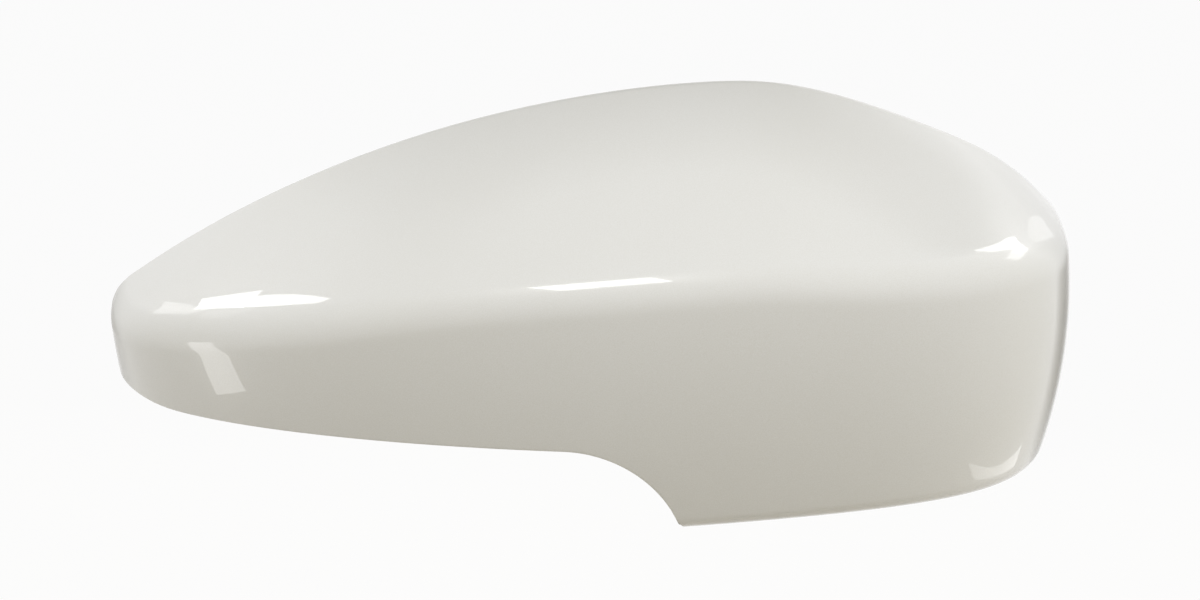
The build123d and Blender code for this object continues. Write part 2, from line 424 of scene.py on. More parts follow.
@dataclass
class ShellGrid:
    """Rows and columns of points on one face of the shell, in millimetres."""

    form: ShellForm
    columns: tuple[int, int, int] = (176, 4, 168)
    dome_rows: int = 34
    end_pull: int = 4
    fan_share: float = 0.5
    fine_steps: int = 2000
    points: Array = field(init=False)
    normals: Array = field(init=False)
    first_row: dict[Band, int] = field(init=False)
    tip_columns: tuple[int, int] = field(init=False)

    def __post_init__(self) -> None:
        """Work out the points."""
        edges = (OUTBOARD, *self.form.foot_places(), INBOARD)
        spans = [self.even(*span)[:-1] for span in zip(edges, edges[1:], self.columns)]
        u = np.concatenate([*spans, [INBOARD]])
        self.tip_columns = (self.columns[0], self.columns[0] + self.columns[1])
        along = np.linspace(0, 1, len(u))
        points, normals, self.first_row, count = [], [], {}, 0
        for band in Band:
            self.first_row[band] = count
            share = np.arange(band.value + (band is Band.SHOULDER)) / band.value
            low, high = (self.form.rim_places(band, share, end)[:, None] for end in (OUTBOARD, INBOARD))
            if band in (Band.SOLE, Band.FOOT):
                low = np.zeros_like(low)
            places = u + (1 - along) ** self.end_pull * low + along**self.end_pull * (high - INBOARD)
            p, n = self.form.surface(band, share[:, None], places)
            points.append(p)
            normals.append(n)
            count += len(share)
        dome = self.dome(points[-1][-1])
        self.points = np.concatenate([*points, dome[0]])
        self.normals = np.concatenate([*normals, dome[1]])
        for rim in (self.points[self.first_row[Band.WALL]:, 0], self.points[:, -1], self.points[-1]):
            rim[:, 1] = self.form.rim_y

    def even(self, start: float, end: float, count: int) -> Array:
        """Places along the outline at even distances.

        Args:
            start: first place.
            end: last place.
            count: number of steps between them.

        Returns:
            count + 1 places.
        """
        fine = np.linspace(start, end, self.fine_steps + 1)
        run = run_of(self.form.plan(fine, self.form.base)[0])
        return np.interp(np.linspace(0, run[-1], count + 1), run, fine)

    def dome(self, crease: Array) -> tuple[Array, Array]:
        """Rows of the dome, from the shoulder to the rim.

        Args:
            crease: the shoulder's last row.

        Returns:
            Points and normals of the rows above it.
        """
        run = run_of(crease[:, :2])
        across = crease[:, 0] - crease[0, 0]
        width = across[-1]
        share = self.fan_share * run / run[-1] + (1 - self.fan_share) * across / width
        rim = np.stack([crease[0, 0] + width * share, np.full(len(crease), self.form.rim_y)], -1)
        step = (np.arange(1, self.dome_rows + 1) / self.dome_rows)[:, None, None]
        xy = crease[None, :, :2] + step * (rim - crease[:, :2])[None]
        height, normal = self.form.dome_at(xy[..., 0], xy[..., 1])
        return lift(xy, height), normal

    def numbering(self) -> Array:
        """Number the grid's points.

        Returns:
            Vertex number of each point, with the points that fall together sharing one.
        """
        rows, columns = self.points.shape[:2]
        number = np.arange(rows * columns).reshape(rows, columns)
        foot, wall, tip = self.first_row[Band.FOOT], self.first_row[Band.WALL], self.tip_columns[0]
        number[foot:wall, tip] = number[wall, tip]
        crease = rows - self.dome_rows - 1
        for end in (0, -1):
            number[crease:, end] = number[crease, end]
        return number

    def faces(self) -> list[Face]:
        """Join the points.

        Returns:
            Faces in vertex numbers, turned outwards.
        """
        number = self.numbering()
        found = []
        for i in range(number.shape[0] - 1):
            first = 0
            if i < self.first_row[Band.FOOT]:
                first = self.tip_columns[1]
            elif i < self.first_row[Band.WALL]:
                first = self.tip_columns[0]
            for j in range(first, number.shape[1] - 1):
                ring = (number[i, j], number[i, j + 1], number[i + 1, j + 1], number[i + 1, j])
                face = tuple(int(v) for k, v in enumerate(ring) if v != ring[k - 1])
                if len(face) > 2:
                    found.append(face)
        return found


@dataclass(frozen=True)
class Link:
    """A socket whose operators add Math nodes."""

    graph: "Graph"
    socket: bpy.types.NodeSocket

    def maths(self, operation: str, *values: Any) -> "Link":
        """The result of a Math node with these inputs."""
        return self.graph.add("ShaderNodeMath", dict(enumerate(values)), operation=operation)["Value"]

    def __add__(self, other: Any) -> "Link":
        """self + other."""
        return self.maths("ADD", self, other)

    __radd__ = __add__

    def __sub__(self, other: Any) -> "Link":
        """self - other."""
        return self.maths("SUBTRACT", self, other)

    def __rsub__(self, other: Any) -> "Link":
        """other - self."""
        return self.maths("SUBTRACT", other, self)

    def __mul__(self, other: Any) -> "Link":
        """self * other."""
        return self.maths("MULTIPLY", self, other)

    __rmul__ = __mul__

    def largest(self, other: Any) -> "Link":
        """The larger of self and other."""
        return self.maths("MAXIMUM", self, other)

    def below(self, other: Any) -> "Link":
        """1 where self is less than other."""
        return self.maths("LESS_THAN", self, other)

    def swing(self, depth: float) -> "Link":
        """Noise, which lies around a half, brought to swing around 0."""
        return (self - 0.5) * depth

    def ramp(self, low: float, high: float) -> "Link":
        """A smooth rise from 0 at low to 1 at high."""
        sockets = {"Value": self, "From Min": low, "From Max": high}
        return self.graph.add("ShaderNodeMapRange", sockets, interpolation_type="SMOOTHSTEP")["Result"]


@dataclass(frozen=True)
class Outputs:
    """The outputs of a node, by name."""

    graph: "Graph"
    node: bpy.types.Node

    def __getitem__(self, name: str) -> Link:
        """The enabled output of that name."""
        return next(Link(self.graph, s) for s in self.node.outputs if s.name == name and s.enabled)


@dataclass(frozen=True)
class Noise:
    """A noise with so many features in a metre, and so many octaves."""

    scale: float
    detail: float


@dataclass(frozen=True)
class Graph:
    """Adds nodes to one tree and joins their sockets."""

    tree: bpy.types.NodeTree

    @classmethod
    def fresh(cls, owner: bpy.types.Material | bpy.types.World) -> "Graph":
        """Empty the tree of a material or of the world.

        Args:
            owner: whose tree.

        Returns:
            The tree's graph.
        """
        owner.use_nodes = True
        owner.node_tree.nodes.clear()
        return cls(owner.node_tree)

    def add(self, kind: str, sockets: dict[Any, Any] | None = None, **settings: Any) -> Outputs:
        """Add a node.

        Args:
            kind: the node's type.
            sockets: values, links or lists of links of its inputs, by name or number.
            settings: its properties, set first.

        Returns:
            Its outputs.
        """
        node = self.tree.nodes.new(kind)
        for name, value in settings.items():
            setattr(node, name, value)
        for name, value in (sockets or {}).items():
            by_name = (s for s in node.inputs if s.name == name and s.enabled)
            socket = node.inputs[name] if isinstance(name, int) else next(by_name)
            links = value if isinstance(value, list) else [value]
            if isinstance(links[0], Link):
                for link in links:
                    self.tree.links.new(link.socket, socket)
            else:
                socket.default_value = value
        return Outputs(self, node)

    def blend(self, share: Link, low: Triple | Link, high: Triple | Link) -> Link:
        """Mix two colours, low where the share is 0 and high where it is 1."""
        a, b = (c if isinstance(c, Link) else (*c, 1.0) for c in (low, high))
        return self.add("ShaderNodeMix", {"Factor": share, "A": a, "B": b}, data_type="RGBA")["Result"]

    def either(self, share: Link, first: Link, second: Link) -> Link:
        """Mix two shaders, the first where the share is 0 and the second where it is 1."""
        return self.add("ShaderNodeMixShader", {"Fac": share, 1: first, 2: second})["Shader"]

    def noise(self, where: Link, noise: Noise) -> Link:
        """Values of a noise, around a half."""
        sockets = {"Vector": where, "Scale": noise.scale, "Detail": noise.detail}
        return self.add("ShaderNodeTexNoise", sockets)["Fac"]

    def bump(self, height: Link, strength: float, depth: float) -> Link:
        """A normal that follows small heights."""
        sockets = {"Strength": strength, "Distance": depth, "Height": height}
        return self.add("ShaderNodeBump", sockets)["Normal"]


@dataclass(frozen=True)
class BarePlastic:
    """Raw dark moulded plastic with a fine spark-eroded grain."""

    name: str = "bare_plastic"
    colour: Triple = (0.030, 0.031, 0.033)
    worn: Triple = (0.052, 0.053, 0.055)
    worn_band: tuple[float, float] = (0.35, 0.75)
    roughness: float = 0.52
    cloud_rough: float = 0.18
    grain_rough: float = 0.1
    grain: Noise = Noise(2600.0, 2.0)
    cloud: Noise = Noise(55.0, 3.0)
    grain_bump: float = 0.6
    grain_depth: float = 0.00006

    def nodes(self, graph: Graph) -> tuple[Link, Link, Link]:
        """Add the grain.

        Args:
            graph: tree to add to.

        Returns:
            Colour, roughness and grain.
        """
        where = graph.add("ShaderNodeTexCoord")["Object"]
        grain, cloud = graph.noise(where, self.grain), graph.noise(where, self.cloud)
        colour = graph.blend(cloud.ramp(*self.worn_band), self.colour, self.worn)
        rough = self.roughness + cloud.swing(self.cloud_rough) + grain.swing(self.grain_rough)
        return colour, rough, grain

    def material(self) -> bpy.types.Material:
        """Make the material once.

        Returns:
            The finished material.
        """
        if self.name in bpy.data.materials:
            return bpy.data.materials[self.name]
        material = bpy.data.materials.new(self.name)
        graph = Graph.fresh(material)
        colour, rough, grain = self.nodes(graph)
        shader = graph.add("ShaderNodeBsdfPrincipled", {
            "Base Color": colour, "Roughness": rough,
            "Normal": graph.bump(grain, self.grain_bump, self.grain_depth)})
        graph.add("ShaderNodeOutputMaterial", {"Surface": shader["BSDF"]})
        return material


@dataclass(frozen=True)
class PearlPaint:
    """Warm pearl white under a clear coat, which fades to overspray and raw plastic on the inside."""

    name: str = "pearl_paint"
    colour: Triple = (0.800, 0.789, 0.738)
    pearl: Triple = (0.845, 0.839, 0.801)
    pearl_band: tuple[float, float] = (0.38, 0.66)
    flake: Noise = Noise(5200.0, 1.0)
    cloud: Noise = Noise(14.0, 2.0)
    speck: Noise = Noise(900.0, 3.0)
    flake_share: float = 0.7
    flake_rough: float = 0.08
    flake_bump: float = 0.35
    flake_depth: float = 0.000012
    roughness: float = 0.30
    coat_roughness: float = 0.014
    overspray: tuple[float, float] = (0.0015, 0.0085)
    ragged: float = 0.006
    ragged_band: tuple[float, float] = (0.0, 0.001)
    gloss_band: tuple[float, float] = (0.0005, 0.003)
    inside: BarePlastic = BarePlastic()

    def material(self) -> bpy.types.Material:
        """Make the material.

        Returns:
            The finished material.
        """
        material = bpy.data.materials.new(self.name)
        graph = Graph.fresh(material)
        where = graph.add("ShaderNodeTexCoord")["Object"]
        flake, cloud, speck = (graph.noise(where, n) for n in (self.flake, self.cloud, self.speck))
        inset = graph.add("ShaderNodeAttribute", attribute_name=CoverSkin.EDGE_DISTANCE)["Fac"]
        reach = inset + speck.swing(self.ragged) * inset.ramp(*self.ragged_band)
        cover = 1 - reach.ramp(*self.overspray)
        raw_colour, raw_rough, _ = self.inside.nodes(graph)
        lustre = (flake * self.flake_share + cloud * (1 - self.flake_share)).ramp(*self.pearl_band)
        paint = graph.blend(lustre, self.colour, self.pearl)
        sheen = self.roughness + flake.swing(self.flake_rough)
        gloss = cover * (1 - inset.ramp(*self.gloss_band))
        shader = graph.add("ShaderNodeBsdfPrincipled", {
            "Base Color": graph.blend(cover, raw_colour, paint),
            "Roughness": sheen * gloss + raw_rough * (1 - gloss),
            "Coat Weight": gloss,
            "Coat Roughness": self.coat_roughness,
            "Normal": graph.bump(flake, self.flake_bump, self.flake_depth),
        })
        graph.add("ShaderNodeOutputMaterial", {"Surface": shader["BSDF"]})
        return material


def add_mesh(name: str, vertices: Any, edges: Any = (), faces: Any = ()) -> Thing:
    """Make a mesh object at the origin.

    Args:
        name: the object's name.
        vertices: places in metres.
        edges: loose edges.
        faces: faces.

    Returns:
        The object, linked into the scene.
    """
    mesh = bpy.data.meshes.new(name)
    mesh.from_pydata([tuple(map(float, v)) for v in vertices], edges, faces)
    mesh.update()
    thing = bpy.data.objects.new(name, mesh)
    bpy.context.scene.collection.objects.link(thing)
    return thing


def set_attribute(thing: Thing, name: str, kind: str, values: Any) -> None:
    """Store a value on each vertex, as a FLOAT, FLOAT_VECTOR or BOOLEAN."""
    layer = thing.data.attributes.new(name, kind, "POINT")
    layer.data.foreach_set("vector" if kind == "FLOAT_VECTOR" else "value", np.array(values).ravel())


def settle(thing: Thing) -> None:
    """Turn an object's modifiers into plain mesh.

    Args:
        thing: the object, which keeps its name.
    """
    graph = bpy.context.evaluated_depsgraph_get()
    made = bpy.data.meshes.new_from_object(thing.evaluated_get(graph))
    old = thing.data
    thing.modifiers.clear()
    thing.data = made
    bpy.data.meshes.remove(old)
    made.name = thing.name


def remove(thing: Thing) -> None:
    """Delete a helper object and its mesh.

    Args:
        thing: the object.
    """
    mesh = thing.data
    bpy.data.objects.remove(thing)
    bpy.data.meshes.remove(mesh)


def unite(thing: Thing, other: Thing) -> None:
    """Join one closed object into another.

    Args:
        thing: the object that stays.
        other: the object that goes.
    """
    union = thing.modifiers.new("union", "BOOLEAN")
    union.operation, union.solver, union.object = "UNION", "EXACT", other
    settle(thing)
    remove(other)


def face_outwards(thing: Thing) -> None:
    """Merge doubles and turn every face outwards.

    Args:
        thing: a closed mesh object.
    """
    shape = bmesh.new()
    shape.from_mesh(thing.data)
    bmesh.ops.remove_doubles(shape, verts=shape.verts, dist=SAME)
    bmesh.ops.recalc_face_normals(shape, faces=shape.faces)
    shape.to_mesh(thing.data)
    shape.free()


def stack(name: str, rings: list[list[Triple]]) -> Thing:
    """Close a row of rings into a solid.

    Args:
        name: the object's name.
        rings: corners of each ring in millimetres, as many in each.

    Returns:
        The closed object.
    """
    count, last = len(rings[0]), (len(rings) - 1) * len(rings[0])
    faces: list[Face] = []
    for start in range(0, last, count):
        for k in range(count):
            a, b = start + k, start + (k + 1) % count
            faces.append((a, b, b + count, a + count))
    faces += [tuple(range(count)), tuple(range(last, last + count))]
    thing = add_mesh(name, np.array(rings).reshape(-1, 3) * MM, faces=faces)
    face_outwards(thing)
    return thing


def soften(thing: Thing, width: float) -> None:
    """Round an object's sharp edges.

    Args:
        thing: the object.
        width: width of the round in millimetres.
    """
    bevel = thing.modifiers.new("soft_edges", "BEVEL")
    bevel.width = width * MM
    bevel.segments = ROUND_STEPS
    bevel.limit_method = "ANGLE"
    bevel.angle_limit = SHARP_ANGLE
    bevel.harden_normals = False
    settle(thing)


def shade(thing: Thing) -> None:
    """Clear faces without area, and shade smoothly across the flatter edges.

    Args:
        thing: the object.
    """
    shape = bmesh.new()
    shape.from_mesh(thing.data)
    bmesh.ops.dissolve_degenerate(shape, dist=SAME, edges=shape.edges)
    for f in shape.faces:
        f.smooth = True
    for e in shape.edges:
        e.smooth = not e.is_manifold or e.calc_face_angle(0.0) < SMOOTH_ANGLE
    shape.to_mesh(thing.data)
    shape.free()


@dataclass
class CoverSkin:
    """The painted shell: outer and inner face, joined by a rim with soft edges (sizes in millimetres)."""

    outer: ShellGrid
    inner: ShellGrid
    paint: PearlPaint
    name: str = "cover_skin"
    edge_r: float = 0.45
    edge_steps: int = 3
    edge_room: float = 0.55
    spare: float = 1.0
    least: float = 1e-3
    thing: Thing = field(init=False)
    EDGE_DISTANCE = "edge_distance"

    def build(self) -> None:
        """Make the closed mesh."""
        faces = self.outer.faces()
        places = [grid.points.reshape(-1, 3).copy() for grid in (self.outer, self.inner)]
        normals = [self.outer.normals.reshape(-1, 3), -self.inner.normals.reshape(-1, 3)]
        edge = self.border(faces)
        ends = self.end_normals(edge, *places)
        rings = self.round_edges(places, normals, ends, self.room(faces, ends, places[0]))
        count, step = len(places[0]), len(ends)
        rim = [range(2 * count + i, 2 * count + i + len(rings) * step, step) for i in range(step)]
        chains = {v: [v, *ring, v + count] for v, ring in zip(ends, rim)}
        solid = faces + [tuple(v + count for v in reversed(f)) for f in faces]
        for a, b in edge:
            one, two = chains[a], chains[b]
            solid += [(two[k], one[k], one[k + 1], two[k + 1]) for k in range(len(one) - 1)]
        vertices = np.concatenate(places + rings) * MM
        vertices[:, 1] = np.minimum(vertices[:, 1], self.outer.form.rim_y * MM)
        distance = np.zeros(len(vertices))
        distance[count:2 * count] = self.edge_distances(places[1], ends) * MM
        used = np.unique([v for f in solid for v in f])
        number = np.full(len(vertices), -1)
        number[used] = np.arange(len(used))
        self.thing = add_mesh(self.name, vertices[used], faces=[number[list(f)].tolist() for f in solid])
        set_attribute(self.thing, self.EDGE_DISTANCE, "FLOAT", distance[used])
        self.thing.data.shade_smooth()

    @staticmethod
    def border(faces: list[Face]) -> list[tuple[int, int]]:
        """Edges that one face only uses, in that face's order."""
        seen = {pair for face in faces for pair in zip(face, face[1:] + face[:1])}
        return sorted((a, b) for a, b in seen if (b, a) not in seen)

    @staticmethod
    def end_normals(edge: list[tuple[int, int]], outer: Array, inner: Array) -> dict[int, Array]:
        """Normals of the end faces between the outer and the inner face.

        Args:
            edge: border edges.
            outer: points of the outer face.
            inner: points of the inner face.

        Returns:
            A unit normal for each border vertex.
        """
        total: dict[int, Array] = {}
        for a, b in edge:
            normal = np.cross(outer[a] - outer[b], inner[a] - outer[a])
            length = np.linalg.norm(normal)
            if length > TINY:
                for v in (a, b):
                    total[v] = total.get(v, np.zeros(3)) + normal / length
        return {v: n / np.linalg.norm(n) for v, n in total.items()}

    @staticmethod
    def room(faces: list[Face], ends: dict[int, Array], outer: Array) -> dict[int, float]:
        """Space for the rounds of the rim.

        Args:
            faces: faces of the outer face.
            ends: normals of the end faces, by border vertex.
            outer: points of the outer face.

        Returns:
            Distance from each border vertex to the nearest point inside the border.
        """
        found: dict[int, float] = {}
        for face in faces:
            for k, a in enumerate(face):
                for b in (face[k - 1], face[(k + 1) % len(face)]):
                    if a in ends and b not in ends:
                        found[a] = min(found.get(a, math.inf), float(np.linalg.norm(outer[a] - outer[b])))
        return found

    def round_edges(self, places: list[Array], normals: list[Array], ends: dict[int, Array],
                    room: dict[int, float]) -> list[Array]:
        """Draw the border in and add the rounds of the rim.

        Args:
            places: points of the outer and the inner face, which are changed.
            normals: their normals, out of the material.
            ends: normals of the end faces.
            room: space inside the border.

        Returns:
            Rows of points across the rim, from the outer to the inner face.
        """
        number = np.array(list(ends))
        end = np.array(list(ends.values()))
        space = np.array([room.get(v, self.spare) for v in ends])
        shares = np.arange(1, self.edge_steps + 1) / self.edge_steps
        rows: list[list[Array]] = []
        for place, outward in zip(places, normals):
            normal = outward[number]
            both = np.sum(normal * end, axis=1)
            whole = np.maximum(1 + both, self.least)
            setback = np.sqrt(np.maximum(1 - both, 0) / whole)
            most = self.edge_room * space / np.maximum(setback, self.least)
            radius = np.minimum(self.edge_r, most)[:, None]
            centre = place[number] - radius * (normal + end) / whole[:, None]
            place[number] = centre + radius * normal
            rows.append([centre + radius * turn(normal, end, s) for s in shares])
        return rows[0] + rows[1][::-1]

    @staticmethod
    def edge_distances(inner: Array, ends: dict[int, Array]) -> Array:
        """How far the inner face lies from the rim.

        Args:
            inner: points of the inner face.
            ends: normals of the end faces, by border vertex.

        Returns:
            Distance of each point from the nearest border vertex.
        """
        tree = kdtree.KDTree(len(ends))
        for v in ends:
            tree.insert(inner[v], v)
        tree.balance()
        return np.array([tree.find(p)[2] for p in inner])

    def dress(self) -> None:
        """Give the shell its finish and its place in the frame."""
        self.thing.data.materials.append(self.paint.material())
        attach(self.thing, BODY)
        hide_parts(COVER_NODE)


class GeometryTree:
    """A Geometry Nodes tree with named inputs."""

    SOCKETS = {float: "NodeSocketFloat", Thing: "NodeSocketObject", bpy.types.Material: "NodeSocketMaterial"}

    def __init__(self, name: str, inputs: dict[str, type]) -> None:
        """Make the tree.

        Args:
            name: its name.
            inputs: type of each input between the geometry and the material.
        """
        self.tree = bpy.data.node_groups.new(name, "GeometryNodeTree")
        face = self.tree.interface
        face.new_socket("Geometry", in_out="INPUT", socket_type="NodeSocketGeometry")
        self.identifiers = {
            label: face.new_socket(label, in_out="INPUT", socket_type=self.SOCKETS[kind]).identifier
            for label, kind in (inputs | {"Material": bpy.types.Material}).items()}
        face.new_socket("Geometry", in_out="OUTPUT", socket_type="NodeSocketGeometry")
        self.graph = Graph(self.tree)
        self.inputs = self.graph.add("NodeGroupInput")

    def finish(self, geometry: Link) -> None:
        """End the tree in Realize Instances, Set Material and the output.

        Args:
            geometry: what the tree makes.
        """
        whole = self.graph.add("GeometryNodeRealizeInstances", {"Geometry": geometry})["Geometry"]
        dressed = self.graph.add("GeometryNodeSetMaterial", {
            "Geometry": whole, "Material": self.inputs["Material"]})["Geometry"]
        self.graph.add("NodeGroupOutput", {"Geometry": dressed})

    def attribute(self, name: str, kind: str) -> Link:
        """A stored value."""
        return self.graph.add("GeometryNodeInputNamedAttribute", {"Name": name}, data_type=kind)["Attribute"]

    def vector(self, operation: str, first: Link, second: Link) -> Link:
        """The result of a Vector Math node, whose second input is a number for SCALE."""
        sockets = {0: first, "Scale" if operation == "SCALE" else 1: second}
        return self.graph.add("ShaderNodeVectorMath", sockets, operation=operation)["Vector"]

    def apply(self, thing: Thing, finish: BarePlastic, values: dict[str, Any]) -> None:
        """Run the tree on an object and keep the plain mesh.

        Args:
            thing: the object.
            finish: its finish.
            values: values of the other named inputs.
        """
        material = finish.material()
        modifier = thing.modifiers.new(self.tree.name, "NODES")
        modifier.node_group = self.tree
        for label, value in (values | {"Material": material}).items():
            modifier[self.identifiers[label]] = value
        settle(thing)
        thing.data.materials.clear()
        thing.data.materials.append(material)


class SeatTree(GeometryTree):
    """Sets copies of a moulded blank at stored places and runs their roots into the shell's inner face."""

    SEAT = "seat"
    TURN = "turn"
    ROOT = "root"
    RAY = 0.3

    def __init__(self) -> None:
        """Make the tree."""
        super().__init__("seated_mouldings", {"Blank": Thing, "Wall": Thing, "Sink": float, "Reach": float})
        add, inputs = self.graph.add, self.inputs
        blank = add("GeometryNodeObjectInfo", {"Object": inputs["Blank"]})
        wall = add("GeometryNodeObjectInfo", {"Object": inputs["Wall"]})
        copies = add("GeometryNodeInstanceOnPoints", {
            "Points": inputs["Geometry"], "Instance": blank["Geometry"],
            "Rotation": self.attribute(self.TURN, "FLOAT_VECTOR")})
        whole = add("GeometryNodeRealizeInstances", {"Geometry": copies["Instances"]})
        seat = self.attribute(self.SEAT, "FLOAT_VECTOR")
        place = add("GeometryNodeInputPosition")["Position"]
        start = self.vector("SUBTRACT", place, self.vector("SCALE", seat, inputs["Reach"]))
        hit = add("GeometryNodeRaycast", {
            "Target Geometry": wall["Geometry"], "Source Position": start, "Ray Direction": seat,
            "Ray Length": self.RAY})
        sunk = self.vector("ADD", hit["Hit Position"], self.vector("SCALE", seat, inputs["Sink"]))
        outside = (hit["Hit Distance"] + inputs["Sink"]).below(inputs["Reach"])
        moved = add("GeometryNodeSetPosition", {
            "Geometry": whole["Geometry"], "Position": sunk,
            "Selection": self.attribute(self.ROOT, "BOOLEAN").largest(outside)})
        self.finish(moved["Geometry"])


class RibTree(GeometryTree):
    """Raises thin plates from lines that lie on the shell's inner face."""

    RISE = "rise"

    def __init__(self) -> None:
        """Make the tree."""
        super().__init__("raised_ribs", {"Height": float, "Thickness": float})
        add, inputs = self.graph.add, self.inputs
        rise = self.vector("SCALE", self.attribute(self.RISE, "FLOAT_VECTOR"), inputs["Height"])
        plate = add("GeometryNodeExtrudeMesh", {
            "Mesh": inputs["Geometry"], "Offset": rise, "Offset Scale": 1.0}, mode="EDGES")["Mesh"]
        across = add("ShaderNodeCombineXYZ", {"X": inputs["Thickness"]})["Vector"]
        thick = add("GeometryNodeExtrudeMesh", {
            "Mesh": plate, "Offset": across, "Offset Scale": 1.0, "Individual": False}, mode="FACES")["Mesh"]
        back = add("GeometryNodeFlipFaces", {"Mesh": plate})["Mesh"]
        joined = add("GeometryNodeJoinGeometry", {"Geometry": [thick, back]})
        closed = add("GeometryNodeMergeByDistance", {"Geometry": joined["Geometry"], "Distance": SAME})
        self.finish(closed["Geometry"])


@dataclass
class InsidePiece(ABC):
    """Bare plastic moulded onto the shell's inner face (sizes in millimetres)."""

    form: ShellForm
    finish: BarePlastic
    name: str
    sink: float = 1.2
    edge: float = 0.3
    thing: Thing = field(init=False)

    def dress(self) -> None:
        """Give the piece its place in the frame."""
        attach(self.thing, BODY)


@dataclass
class SeatedPiece(InsidePiece):
    """Copies of one blank, whose roots run into the shell's inner face."""

    root: float = 8.0
    reach: float = 24.0  # how far before a point its ray to the wall starts

    @abstractmethod
    def blank(self) -> Thing:
        """One moulding with a root that is longer than it needs."""

    @abstractmethod
    def in_root(self, y: Array) -> Array:
        """Which places along the blank belong to its root."""

    @abstractmethod
    def seats(self) -> Seats:
        """Places in metres, directions to the wall and turns of the copies."""

    def build(self, tree: SeatTree, wall: Thing) -> None:
        """Set the copies on the wall.

        Args:
            tree: the seating tree.
            wall: the shell.
        """
        places, ways, turns = self.seats()
        self.thing = add_mesh(self.name, places)
        set_attribute(self.thing, SeatTree.SEAT, "FLOAT_VECTOR", ways)
        set_attribute(self.thing, SeatTree.TURN, "FLOAT_VECTOR", turns)
        blank = self.blank()
        soften(blank, self.edge)
        y = np.array([v.co.y for v in blank.data.vertices]) / MM
        set_attribute(blank, SeatTree.ROOT, "BOOLEAN", self.in_root(y))
        tree.apply(self.thing, self.finish, {
            "Blank": blank, "Wall": wall, "Sink": self.sink * MM, "Reach": self.reach * MM})
        remove(blank)
        shade(self.thing)


class HookSide(Enum):
    """The way from the hollow to the wall that carries a hook."""

    ROOF = (0, 0, 1)
    OUTBOARD = (-1, 0, 0)
    INBOARD = (1, 0, 0)

    @property
    def search(self) -> tuple[float, float]:
        """Places along the outline at the rim and well in front of the hook."""
        return (OUTBOARD, 0.9) if self is HookSide.OUTBOARD else (INBOARD, 1.1)


@dataclass
class SnapHooks(SeatedPiece):
    """Six blades with barbs near the rim, each on a web with two gussets."""

    name: str = "snap_hooks"
    sites: tuple[tuple[HookSide, float], ...] = (
        (HookSide.ROOF, -80.0), (HookSide.ROOF, 0.0), (HookSide.ROOF, 62.0),
        (HookSide.OUTBOARD, -8.0), (HookSide.INBOARD, -16.0), (HookSide.INBOARD, 10.0))
    width: float = 12.0
    thickness: float = 1.8
    length: float = 16.0
    gap: float = 5.5
    rim_gap: float = 3.0
    barb_height: float = 2.0
    barb_length: float = 5.0
    barb_ramp: float = 3.5
    gusset_thickness: float = 1.4
    gusset_length: float = 12.0
    gusset_steps: int = 6
    gusset_overlap: float = 0.4
    gusset_inset: float = 0.02
    slices: int = 8
    edge: float = 0.28

    def plate(self, outline: list[tuple[float, float]], low: float, high: float) -> Thing:
        """A plate from low to high, cut into slices, with x to the rear, y to the wall and z across."""
        levels = np.linspace(low, high, self.slices + 1)
        return stack("hook_plate", [[(x, y, z) for x, y in outline] for z in levels])

    def blank(self) -> Thing:
        """Join the web, the blade and the gussets.

        Returns:
            One hook with a root that is longer than it needs.
        """
        half, front, back = self.width / 2, -self.gap, -self.gap - self.thickness
        barb, ramp = self.length - self.barb_length, self.length - self.barb_ramp
        top = front + self.barb_height
        hook = self.plate([
            (0, self.root), (0, back), (self.length, back), (self.length, front), (ramp, top), (barb, top),
            (barb, front), (self.thickness, front), (self.thickness, self.root)], -half, half)
        over, run = self.gusset_overlap, -self.gusset_length
        slope = [(run * k / self.gusset_steps, self.root) for k in range(self.gusset_steps + 1)]
        brace = [(over, self.root), *slope, (run, 0.0), (0.0, front), (over, front)]
        for low in (-half, half - self.gusset_thickness):
            high = low + self.gusset_thickness
            unite(hook, self.plate(brace, low + self.gusset_inset, high - self.gusset_inset))
        return hook

    def in_root(self, y: Array) -> Array:
        """Which places along the blank belong to its root."""
        return y > self.root / 2

    def seats(self) -> Seats:
        """Feet of the hooks on the inner face.

        Returns:
            Places in metres, directions to the wall and turns.
        """
        y = self.form.rim_y - self.rim_gap - self.length
        places, ways, turns = [], [], []
        for side, value in self.sites:
            if side is HookSide.ROOF:
                place = (value, y, float(self.form.dome_at(value, y)[0]))
            else:
                u = self.form.find(lambda u: y - self.form.wall_at(u, value)[0][..., 1], *side.search)
                place = (float(self.form.wall_at(u, value)[0][0]), y, value)
            way = Vector(side.value)
            places.append(Vector(place) * MM)
            ways.append(way)
            turns.append(Vector(Matrix((REAR, way, REAR.cross(way))).transposed().to_euler()))
        return places, ways, turns


